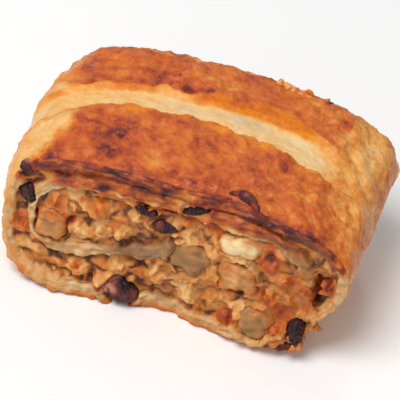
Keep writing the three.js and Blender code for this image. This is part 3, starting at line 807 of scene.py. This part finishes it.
class STRUDEL_OT_flakes(bpy.types.Operator):
    """Makes the burnt flake at the crust's front edge and the crumbs that stick out"""
    bl_idname = "strudel.flakes"
    bl_label = "Make the Flakes and Crumbs"

    def execute(self, context):
        bm = bmesh.new()
        bmesh.ops.create_grid(bm, x_segments=44, y_segments=16, size=0.5)
        for corner in bm.verts:
            u, v = corner.co.x + 0.5, corner.co.y + 0.5
            # from left to right along the strip it arches; across it curls over towards the front
            arch = math.sin(math.pi * min(u * 1.05, 1)) ** 0.8
            wide = 0.5 + 2.8 * arch * (1 - 0.25 * u)
            curl = 0.5 + 2.3 * v
            x = 11.0 + 12.6 * u + 0.5 * math.sin(5 * u)
            y = -21.7 - 4.2 * u ** 2 + wide * 0.6 * math.cos(curl) + 0.5 * noise.noise(Vector((u * 5, 0, 1)))
            z = 46.3 - 2.2 * u ** 2 + 1.4 * arch + wide * 0.8 * math.sin(curl) - 1.0
            dent = 0.35 * noise.noise(Vector((x / 1.6, v * 2, 3)))
            corner.co = Vector((x + CENTRING, y, z + dent)) * MM
        bmesh.ops.solidify(bm, geom=bm.faces[:], thickness=0.45 * MM)
        mesh = mesh_from("burnt_flake", bm)
        x, y, z = points_of(mesh)
        paint(mesh, bake=0.92 + 0.10 * rough(x, y, z, 2, 3), cut=np.zeros(len(x)))
        shown("burnt_flake", mesh, [], pastry_material())

        rng = np.random.default_rng(21)
        bm = bmesh.new()
        for i in range(12):
            x = rng.uniform(11, 20)
            lump(bm, x, rear_y(x, 45.5) - rng.uniform(-0.6, 1.0), 44.8 + rng.uniform(-1.2, 0.8), rng.uniform(0.8, 1.5), 200 + i)
        mesh = fused("rear_crumbs", bm, 0.3)
        x, y, z = points_of(mesh)
        paint(mesh, bake=0.34 + 0.3 * rough(x, y, z, 2, 4), cut=np.zeros(len(x)))
        shown("rear_crumbs", mesh, [], pastry_material())
        return {"FINISHED"}


# ---- materials ----

def linear(colour):
    """An sRGB hex colour or picked colour as linear red, green, blue and alpha."""
    if not isinstance(colour, str):
        return (*colour[:3], 1.0)
    parts = [int(colour[i:i + 2], 16) / 255 for i in (0, 2, 4)]
    return (*((p / 12.92 if p <= 0.04045 else ((p + 0.055) / 1.055) ** 2.4) for p in parts), 1.0)


def add_node(tree, kind, inputs, **settings):
    """One shader node with its settings; an input is a value or another node's output to link."""
    made = tree.nodes.new(kind)
    for name, value in settings.items():
        if name == "stops":
            stops = made.color_ramp.elements
            stops.remove(stops[1])
            stops[0].position, stops[0].color = value[0][0], linear(value[0][1])
            for place, colour in value[1:]:
                stops.new(place).color = linear(colour)
        else:
            setattr(made, name, value)
    for name, value in inputs.items():
        if isinstance(value, bpy.types.NodeSocket):
            tree.links.new(value, made.inputs[name])
        else:
            made.inputs[name].default_value = value
    return made


def new_material(name):
    """An empty node material of that name with its node tree; an earlier one of that name is returned as it is,
    without a tree.
    """
    old = bpy.data.materials.get(name)
    if old is not None:
        return old, None
    material = bpy.data.materials.new(name)
    material.use_nodes = True
    material.node_tree.nodes.clear()
    return material, material.node_tree


def per_mm(size):
    """Scale of a pattern whose marks are size mm across, on coordinates in metres."""
    return 1 / (size * MM)


def pastry_material():
    """Puff pastry, egg-washed and oven-baked: a satin, mottled gold to red-brown skin whose cut
    layers stay pale, dull and a little see-through."""
    material, tree = new_material("Egg-washed baked puff pastry")
    if tree is None:
        return material
    props = bpy.context.scene.strudel_pastry
    place = add_node(tree, "ShaderNodeTexCoord", {}).outputs["Object"]
    bake = add_node(tree, "ShaderNodeAttribute", {}, attribute_name="bake").outputs["Fac"]
    cut = add_node(tree, "ShaderNodeAttribute", {}, attribute_name="cut").outputs["Fac"]
    mottle = add_node(tree, "ShaderNodeTexNoise", {"Vector": place, "Scale": per_mm(3.2), "Detail": 6.0, "Roughness": 0.68})
    speck = add_node(tree, "ShaderNodeTexNoise", {"Vector": place, "Scale": per_mm(0.9), "Detail": 4.0, "Roughness": 0.7})
    mottled = add_node(tree, "ShaderNodeMath", {0: mottle.outputs["Fac"], 1: 0.6, 2: -0.3}, operation="MULTIPLY_ADD")
    specked = add_node(tree, "ShaderNodeMath", {0: speck.outputs["Fac"], 1: 0.32, 2: -0.16}, operation="MULTIPLY_ADD")
    varied = add_node(tree, "ShaderNodeMath", {0: mottled.outputs[0], 1: specked.outputs[0]}, operation="ADD")
    # pale dough varies less than brown crust
    reach = add_node(tree, "ShaderNodeMapRange", {"Value": bake, "From Min": 0.0, "From Max": 0.6, "To Min": 0.35, "To Max": 1.0})
    varied = add_node(tree, "ShaderNodeMath", {0: varied.outputs[0], 1: reach.outputs[0], 2: bake}, operation="MULTIPLY_ADD")
    crust = add_node(tree, "ShaderNodeValToRGB", {"Fac": varied.outputs[0]}, stops=[
        (0.0, props.dough), (0.14, "F1C482"), (0.29, "EDAA58"), (0.42, "E38E3C"), (0.52, "D8742A"),
        (0.62, props.golden), (0.74, props.brown), (0.84, "803024"), (0.92, "5C2428"), (1.0, props.burnt)])
    # pale pinkish flecks: partly paler skin where the thin top skin has blistered off, partly painted highlights that
    # stand for glints on the glaze
    glint_flecks = add_node(tree, "ShaderNodeTexNoise", {"Vector": place, "Scale": per_mm(1.7), "Detail": 5.0, "Roughness": 0.7})
    glint_fleck_mask = add_node(tree, "ShaderNodeMapRange", {"Value": glint_flecks.outputs["Fac"], "From Min": 0.57, "From Max": 0.68, "To Min": 0.0, "To Max": 0.40})
    crust = add_node(tree, "ShaderNodeMix", {0: glint_fleck_mask.outputs[0], 6: crust.outputs["Color"], 7: linear("E69A6A")}, data_type="RGBA")
    # butter-fried amber on the slash's rear wall and front lip
    amber = add_node(tree, "ShaderNodeAttribute", {}, attribute_name="amber").outputs["Fac"]
    fried = add_node(tree, "ShaderNodeValToRGB", {"Fac": varied.outputs[0]}, stops=[
        (0.25, "F2B040"), (0.42, "E98A06"), (0.60, "D66A04"), (0.80, "A43E0A")])
    crust = add_node(tree, "ShaderNodeMix", {0: amber, 6: crust.outputs[2], 7: fried.outputs["Color"]}, data_type="RGBA")
    layers = add_node(tree, "ShaderNodeValToRGB", {"Fac": varied.outputs[0]}, stops=[
        (0.0, "DCC4A4"), (0.18, "D2AE84"), (0.40, "C98A4F"), (0.60, "B9692F"), (0.80, "8E4520"), (1.0, props.burnt)])
    colour = add_node(tree, "ShaderNodeMix", {0: cut, 6: crust.outputs[2], 7: layers.outputs["Color"]}, data_type="RGBA")
    skin = add_node(tree, "ShaderNodeTexNoise", {"Vector": place, "Scale": per_mm(1.3), "Detail": 6.0, "Roughness": 0.62})
    relief = add_node(tree, "ShaderNodeBump", {"Height": skin.outputs["Fac"], "Strength": 0.85, "Distance": 0.5 * MM})
    gloss = add_node(tree, "ShaderNodeMapRange", {"Value": mottle.outputs["Fac"], "From Min": 0.3, "From Max": 0.7, "To Min": 0.18, "To Max": 0.42})
    gloss = add_node(tree, "ShaderNodeMix", {0: cut, 2: gloss.outputs[0], 3: 0.6}, data_type="FLOAT")
    shader = add_node(tree, "ShaderNodeBsdfPrincipled", {
        "Base Color": colour.outputs[2], "Roughness": gloss.outputs[0], "Normal": relief.outputs[0],
        "Subsurface Weight": 0.12, "Subsurface Radius": (1.0, 0.5, 0.25), "Subsurface Scale": 1.6 * MM, "IOR": 1.45,
        "Specular IOR Level": 0.35})
    add_node(tree, "ShaderNodeOutputMaterial", {"Surface": shader.outputs[0]})
    return material


def filling_material():
    """Apple filling, chopped, sugared and baked: moist tan crumbs from syrup brown to cream,
    toasted orange-brown where they stand out."""
    material, tree = new_material("Baked chopped apple filling")
    if tree is None:
        return material
    props = bpy.context.scene.strudel_filling
    place = add_node(tree, "ShaderNodeTexCoord", {}).outputs["Object"]
    tone = add_node(tree, "ShaderNodeAttribute", {}, attribute_name="tone").outputs["Fac"]
    toast = add_node(tree, "ShaderNodeAttribute", {}, attribute_name="toast").outputs["Fac"]
    grain = add_node(tree, "ShaderNodeTexNoise", {"Vector": place, "Scale": per_mm(1.6), "Detail": 5.0, "Roughness": 0.65})
    speck = add_node(tree, "ShaderNodeTexNoise", {"Vector": place, "Scale": per_mm(2.7), "Detail": 4.0, "Roughness": 0.6})
    toned = add_node(tree, "ShaderNodeMath", {0: grain.outputs["Fac"], 1: 0.7, 2: -0.35}, operation="MULTIPLY_ADD")
    toned = add_node(tree, "ShaderNodeMath", {0: toned.outputs[0], 1: tone}, operation="ADD")
    fruit = add_node(tree, "ShaderNodeValToRGB", {"Fac": toned.outputs[0]}, stops=[
        (0.0, props.syrup), (0.22, "8A4A1C"), (0.45, props.tan), (0.68, "DAA05A"), (0.88, "E8BC7A"), (1.0, props.cream)])
    toasted = add_node(tree, "ShaderNodeMath", {0: speck.outputs["Fac"], 1: 0.7, 2: -0.35}, operation="MULTIPLY_ADD")
    toasted = add_node(tree, "ShaderNodeMath", {0: toasted.outputs[0], 1: toast}, operation="ADD")
    browned = add_node(tree, "ShaderNodeValToRGB", {"Fac": toasted.outputs[0]}, stops=[
        (0.25, "DB8B36"), (0.5, "C25C1C"), (0.72, "8A3214"), (0.95, "2E1210")])
    share = add_node(tree, "ShaderNodeMapRange", {"Value": toasted.outputs[0], "From Min": 0.12, "From Max": 0.42})
    colour = add_node(tree, "ShaderNodeMix", {0: share.outputs[0], 6: fruit.outputs["Color"], 7: browned.outputs["Color"]}, data_type="RGBA")
    # the cut ends of the pastry layers
    layer = add_node(tree, "ShaderNodeAttribute", {}, attribute_name="layer").outputs["Fac"]
    bake = add_node(tree, "ShaderNodeAttribute", {}, attribute_name="bake").outputs["Fac"]
    baked = add_node(tree, "ShaderNodeMath", {0: grain.outputs["Fac"], 1: 0.5, 2: -0.25}, operation="MULTIPLY_ADD")
    baked = add_node(tree, "ShaderNodeMath", {0: baked.outputs[0], 1: bake}, operation="ADD")
    pastry = add_node(tree, "ShaderNodeValToRGB", {"Fac": baked.outputs[0]}, stops=[
        (0.0, "E0C294"), (0.2, "CFA068"), (0.42, "D08434"), (0.60, "BD5C1E"), (0.78, "8A3318"), (1.0, "351412")])
    # greyer brown layers where they are soaked, partly painted shade
    soak_and_shade_mix = add_node(tree, "ShaderNodeMapRange", {"Value": tone, "From Min": 0.9, "From Max": 0.2, "To Min": 0.0, "To Max": 0.85})
    pastry = add_node(tree, "ShaderNodeMix", {0: soak_and_shade_mix.outputs[0], 6: pastry.outputs["Color"], 7: linear("845B39")}, data_type="RGBA")
    colour = add_node(tree, "ShaderNodeMix", {0: layer, 6: colour.outputs[2], 7: pastry.outputs[2]}, data_type="RGBA")
    fine = add_node(tree, "ShaderNodeTexNoise", {"Vector": place, "Scale": per_mm(0.7), "Detail": 4.0, "Roughness": 0.6})
    relief = add_node(tree, "ShaderNodeBump", {"Height": fine.outputs["Fac"], "Strength": 0.5, "Distance": 0.3 * MM})
    moist = add_node(tree, "ShaderNodeMapRange", {"Value": grain.outputs["Fac"], "From Min": 0.3, "From Max": 0.7, "To Min": 0.26, "To Max": 0.52})
    shader = add_node(tree, "ShaderNodeBsdfPrincipled", {
        "Base Color": colour.outputs[2], "Roughness": moist.outputs[0], "Normal": relief.outputs[0],
        "Subsurface Weight": 0.25, "Subsurface Radius": (1.0, 0.55, 0.25), "Subsurface Scale": 2.2 * MM, "IOR": 1.42})
    add_node(tree, "ShaderNodeOutputMaterial", {"Surface": shader.outputs[0]})
    return material


def raisin_material():
    """Raisin, dried and oven-charred: almost black purple-brown skin, glossy on its folds, with pinkish caramel where
    sugar has set; the pinkish colour also carries painted highlights, on the upper left of the base raisin and over
    the corner raisin."""
    material, tree = new_material("Oven-baked raisin skin")
    if tree is None:
        return material
    props = bpy.context.scene.strudel_fruit
    place = add_node(tree, "ShaderNodeTexCoord", {}).outputs["Object"]
    sugar = add_node(tree, "ShaderNodeAttribute", {}, attribute_name="sugar").outputs["Fac"]
    folds = add_node(tree, "ShaderNodeTexNoise", {"Vector": place, "Scale": per_mm(1.2), "Detail": 5.0, "Roughness": 0.6})
    sugar_and_sheen_tone = add_node(tree, "ShaderNodeMath", {0: folds.outputs["Fac"], 1: 0.7, 2: -0.35}, operation="MULTIPLY_ADD")
    sugar_and_sheen_tone = add_node(tree, "ShaderNodeMath", {0: sugar_and_sheen_tone.outputs[0], 1: sugar}, operation="ADD")
    colour = add_node(tree, "ShaderNodeValToRGB", {"Fac": sugar_and_sheen_tone.outputs[0]}, stops=[
        (0.1, props.raisin), (0.4, "482024"), (0.65, "7C3A2E"), (1.0, "C48A70")])
    relief = add_node(tree, "ShaderNodeBump", {"Height": folds.outputs["Fac"], "Strength": 0.6, "Distance": 0.3 * MM})
    shader = add_node(tree, "ShaderNodeBsdfPrincipled", {
        "Base Color": colour.outputs["Color"], "Roughness": 0.5, "Normal": relief.outputs[0], "IOR": 1.45,
        "Specular IOR Level": 0.35})
    add_node(tree, "ShaderNodeOutputMaterial", {"Surface": shader.outputs[0]})
    return material


def apple_material():
    """Apple dice, cooked soft in the roll: moist flesh from glassy grey-green to cream, light
    scattering under its surface, toasted at the corners."""
    material, tree = new_material("Cooked apple flesh")
    if tree is None:
        return material
    props = bpy.context.scene.strudel_fruit
    place = add_node(tree, "ShaderNodeTexCoord", {}).outputs["Object"]
    tone = add_node(tree, "ShaderNodeAttribute", {}, attribute_name="tone").outputs["Fac"]
    toast = add_node(tree, "ShaderNodeAttribute", {}, attribute_name="toast").outputs["Fac"]
    grain = add_node(tree, "ShaderNodeTexNoise", {"Vector": place, "Scale": per_mm(2.2), "Detail": 5.0, "Roughness": 0.6})
    toned = add_node(tree, "ShaderNodeMath", {0: grain.outputs["Fac"], 1: 0.4, 2: -0.2}, operation="MULTIPLY_ADD")
    toned = add_node(tree, "ShaderNodeMath", {0: toned.outputs[0], 1: tone}, operation="ADD")
    flesh = add_node(tree, "ShaderNodeValToRGB", {"Fac": toned.outputs[0]}, stops=[
        (0.0, props.glassy), (0.25, "A07545"), (0.5, props.stewed), (0.75, "D8A868"), (1.0, "EED3A0")])
    toasted = add_node(tree, "ShaderNodeMath", {0: grain.outputs["Fac"], 1: 0.5, 2: -0.25}, operation="MULTIPLY_ADD")
    toasted = add_node(tree, "ShaderNodeMath", {0: toasted.outputs[0], 1: toast}, operation="ADD")
    browned = add_node(tree, "ShaderNodeValToRGB", {"Fac": toasted.outputs[0]}, stops=[
        (0.2, "D08A48"), (0.5, "BC6427"), (0.75, "8C3D1C"), (1.0, "33170F")])
    share = add_node(tree, "ShaderNodeMapRange", {"Value": toasted.outputs[0], "From Min": 0.15, "From Max": 0.5})
    colour = add_node(tree, "ShaderNodeMix", {0: share.outputs[0], 6: flesh.outputs["Color"], 7: browned.outputs["Color"]}, data_type="RGBA")
    fine = add_node(tree, "ShaderNodeTexNoise", {"Vector": place, "Scale": per_mm(0.8), "Detail": 4.0, "Roughness": 0.6})
    relief = add_node(tree, "ShaderNodeBump", {"Height": fine.outputs["Fac"], "Strength": 0.35, "Distance": 0.25 * MM})
    shader = add_node(tree, "ShaderNodeBsdfPrincipled", {
        "Base Color": colour.outputs[2], "Roughness": 0.36, "Normal": relief.outputs[0],
        "Subsurface Weight": 0.45, "Subsurface Radius": (1.0, 0.6, 0.3), "Subsurface Scale": 2.8 * MM, "IOR": 1.40})
    add_node(tree, "ShaderNodeOutputMaterial", {"Surface": shader.outputs[0]})
    return material


def floor_material():
    """Paper sweep, matt white: even and without a pattern."""
    material, tree = new_material("Matt white paper")
    if tree is None:
        return material
    props = bpy.context.scene.strudel_stage
    shader = add_node(tree, "ShaderNodeBsdfPrincipled", {"Base Color": linear(props.floor), "Roughness": 0.9})
    add_node(tree, "ShaderNodeOutputMaterial", {"Surface": shader.outputs[0]})
    return material


# ---- stage ----

class STRUDEL_OT_stage(bpy.types.Operator):
    """Sets up the camera, the soft lights and the pale floor"""
    bl_idname = "strudel.stage"
    bl_label = "Set Up the Stage"

    def execute(self, context):
        props = context.scene.strudel_stage
        scene = context.scene
        turn, rise, roll = props.turn, props.rise, props.roll
        back = Vector((math.sin(turn) * math.cos(rise), -math.cos(turn) * math.cos(rise), math.sin(rise)))
        level = Vector((math.cos(turn), math.sin(turn), 0))
        upright = back.cross(level)
        right = math.cos(roll) * level + math.sin(roll) * upright
        up = -math.sin(roll) * level + math.cos(roll) * upright
        target = Vector((CENTRING, -1.5, 22)) * MM
        lens = bpy.data.cameras.new("camera")
        camera = bpy.data.objects.new("camera", lens)
        scene.collection.objects.link(camera)
        camera.matrix_world = Matrix.Translation(target + back * props.distance) @ Matrix((right, up, back)).transposed().to_4x4()
        lens.sensor_width = 36
        lens.lens = 36 * props.distance / props.view_width
        lens.clip_start, lens.clip_end = 0.05, 20
        scene.camera = camera

        bm = bmesh.new()
        bmesh.ops.create_grid(bm, x_segments=2, y_segments=2, size=4)
        sweep = mesh_from("floor", bm)
        sweep.materials.append(floor_material())
        floor = bpy.data.objects.new("floor", sweep)
        scene.collection.objects.link(floor)

        for name, place, size, power in (
            ("top_softbox", (-0.30, -0.42, 1.0), 0.6, 1.0),
            ("front_softbox", (-0.15, -1.1, 0.5), 0.6, 0.10),
            ("rear_softbox", (-0.1, 1.0, 0.95), 0.2, 0.15),
        ):
            light = bpy.data.lights.new(name, "AREA")
            light.shape, light.size = "SQUARE", size
            light.energy = power * props.light_power
            lamp = bpy.data.objects.new(name, light)
            lamp.location = place
            lamp.rotation_euler = (Vector((0, 0, 0.02)) - Vector(place)).to_track_quat("-Z", "Y").to_euler()
            scene.collection.objects.link(lamp)
        world = bpy.data.worlds.new("studio")
        world.use_nodes = True
        sky = next(node for node in world.node_tree.nodes if node.type == "BACKGROUND")
        sky.inputs["Color"].default_value = linear("FFFFFF")
        sky.inputs["Strength"].default_value = props.ambient
        scene.world = world
        scene.view_settings.view_transform = "Standard"
        return {"FINISHED"}


# ---- settings, panel and registration ----

def colour_property(name, hex_colour, description):
    return bpy.props.FloatVectorProperty(
        name=name, description=description, subtype="COLOR", size=3, min=0, max=1, default=linear(hex_colour)[:3])


class StrudelPastry(bpy.types.PropertyGroup):
    dough: colour_property("Dough", "F1D6A4", "Pale dough in the slash and on the left shoulder")
    golden: colour_property("Golden", "CE6228", "Crust that is baked golden")
    brown: colour_property("Brown", "B04A24", "Crust that is baked brown")
    burnt: colour_property("Burnt", "34161A", "Edges and flakes that have caught")


class StrudelFilling(bpy.types.PropertyGroup):
    # syrup is also what the cut faces' creases and hollows are darkened towards, as painted shade
    syrup: colour_property("Syrup", "4F2410", "Hollows where brown juice has set")
    tan: colour_property("Tan", "C07A3A", "Chopped apple that is cooked through")
    cream: colour_property("Cream", "F3D8A4", "Palest apple crumbs")
    lump_count: bpy.props.IntProperty(name="Lumps", description="Lumps of apple on the front cut face", default=90, min=0, max=400)
    grain: bpy.props.FloatProperty(name="Grain", description="Face size of the cut faces, in mm", default=0.42, min=0.35, max=2)


class StrudelFruit(bpy.types.PropertyGroup):
    raisin: colour_property("Raisin", "2A1216", "Charred raisin skin")
    glassy: colour_property("Glassy apple", "84603A", "Cooked apple that has gone clear")
    stewed: colour_property("Stewed apple", "C07F3E", "Apple flesh that has browned in the juice")


class StrudelStage(bpy.types.PropertyGroup):
    floor: colour_property("Floor", "FFFFFF", "Paper under the strudel")
    turn: bpy.props.FloatProperty(name="Turn", description="How far the camera stands to the right", subtype="ANGLE", default=math.radians(11))
    rise: bpy.props.FloatProperty(name="Rise", description="How far the camera looks down", subtype="ANGLE", default=math.radians(42))
    roll: bpy.props.FloatProperty(name="Roll", description="How far the picture is tilted", subtype="ANGLE", default=math.radians(9.5))
    distance: bpy.props.FloatProperty(name="Distance", description="From camera to strudel", unit="LENGTH", default=0.8, min=0.2)
    view_width: bpy.props.FloatProperty(name="View width", description="Width of the picture at the strudel", unit="LENGTH", default=0.11019, min=0.05)
    light_power: bpy.props.FloatProperty(name="Light", description="Power of the top softbox", unit="POWER", default=9.6, min=0)
    ambient: bpy.props.FloatProperty(name="Ambient", description="Brightness of the white room", default=0.32, min=0)


STEPS = (STRUDEL_OT_stage, STRUDEL_OT_crust, STRUDEL_OT_inner_turns, STRUDEL_OT_cut_faces, STRUDEL_OT_middle,
         STRUDEL_OT_raisins, STRUDEL_OT_apples, STRUDEL_OT_flakes)
GROUPS = {"strudel_pastry": StrudelPastry, "strudel_filling": StrudelFilling, "strudel_fruit": StrudelFruit,
          "strudel_stage": StrudelStage}


class STRUDEL_PT_panel(bpy.types.Panel):
    """Settings and steps of the strudel"""
    bl_idname = "STRUDEL_PT_panel"
    bl_label = "Mini Apple Strudel"
    bl_space_type = "VIEW_3D"
    bl_region_type = "UI"
    bl_category = "Strudel"

    def draw(self, context):
        for name, group in GROUPS.items():
            box = self.layout.box()
            for field in group.__annotations__:
                box.prop(getattr(context.scene, name), field)
        for step in STEPS:
            self.layout.operator(step.bl_idname)


def register():
    for cls in (*GROUPS.values(), *STEPS, STRUDEL_PT_panel):
        bpy.utils.register_class(cls)
    for name, group in GROUPS.items():
        setattr(bpy.types.Scene, name, bpy.props.PointerProperty(type=group))


def unregister():
    for name in GROUPS:
        delattr(bpy.types.Scene, name)
    for cls in (STRUDEL_PT_panel, *reversed(STEPS), *GROUPS.values()):
        bpy.utils.unregister_class(cls)


def main():
    register()
    for step in STEPS:
        group, name = step.bl_idname.split(".")
        getattr(getattr(bpy.ops, group), name)()


if __name__ == "__main__":
    main()
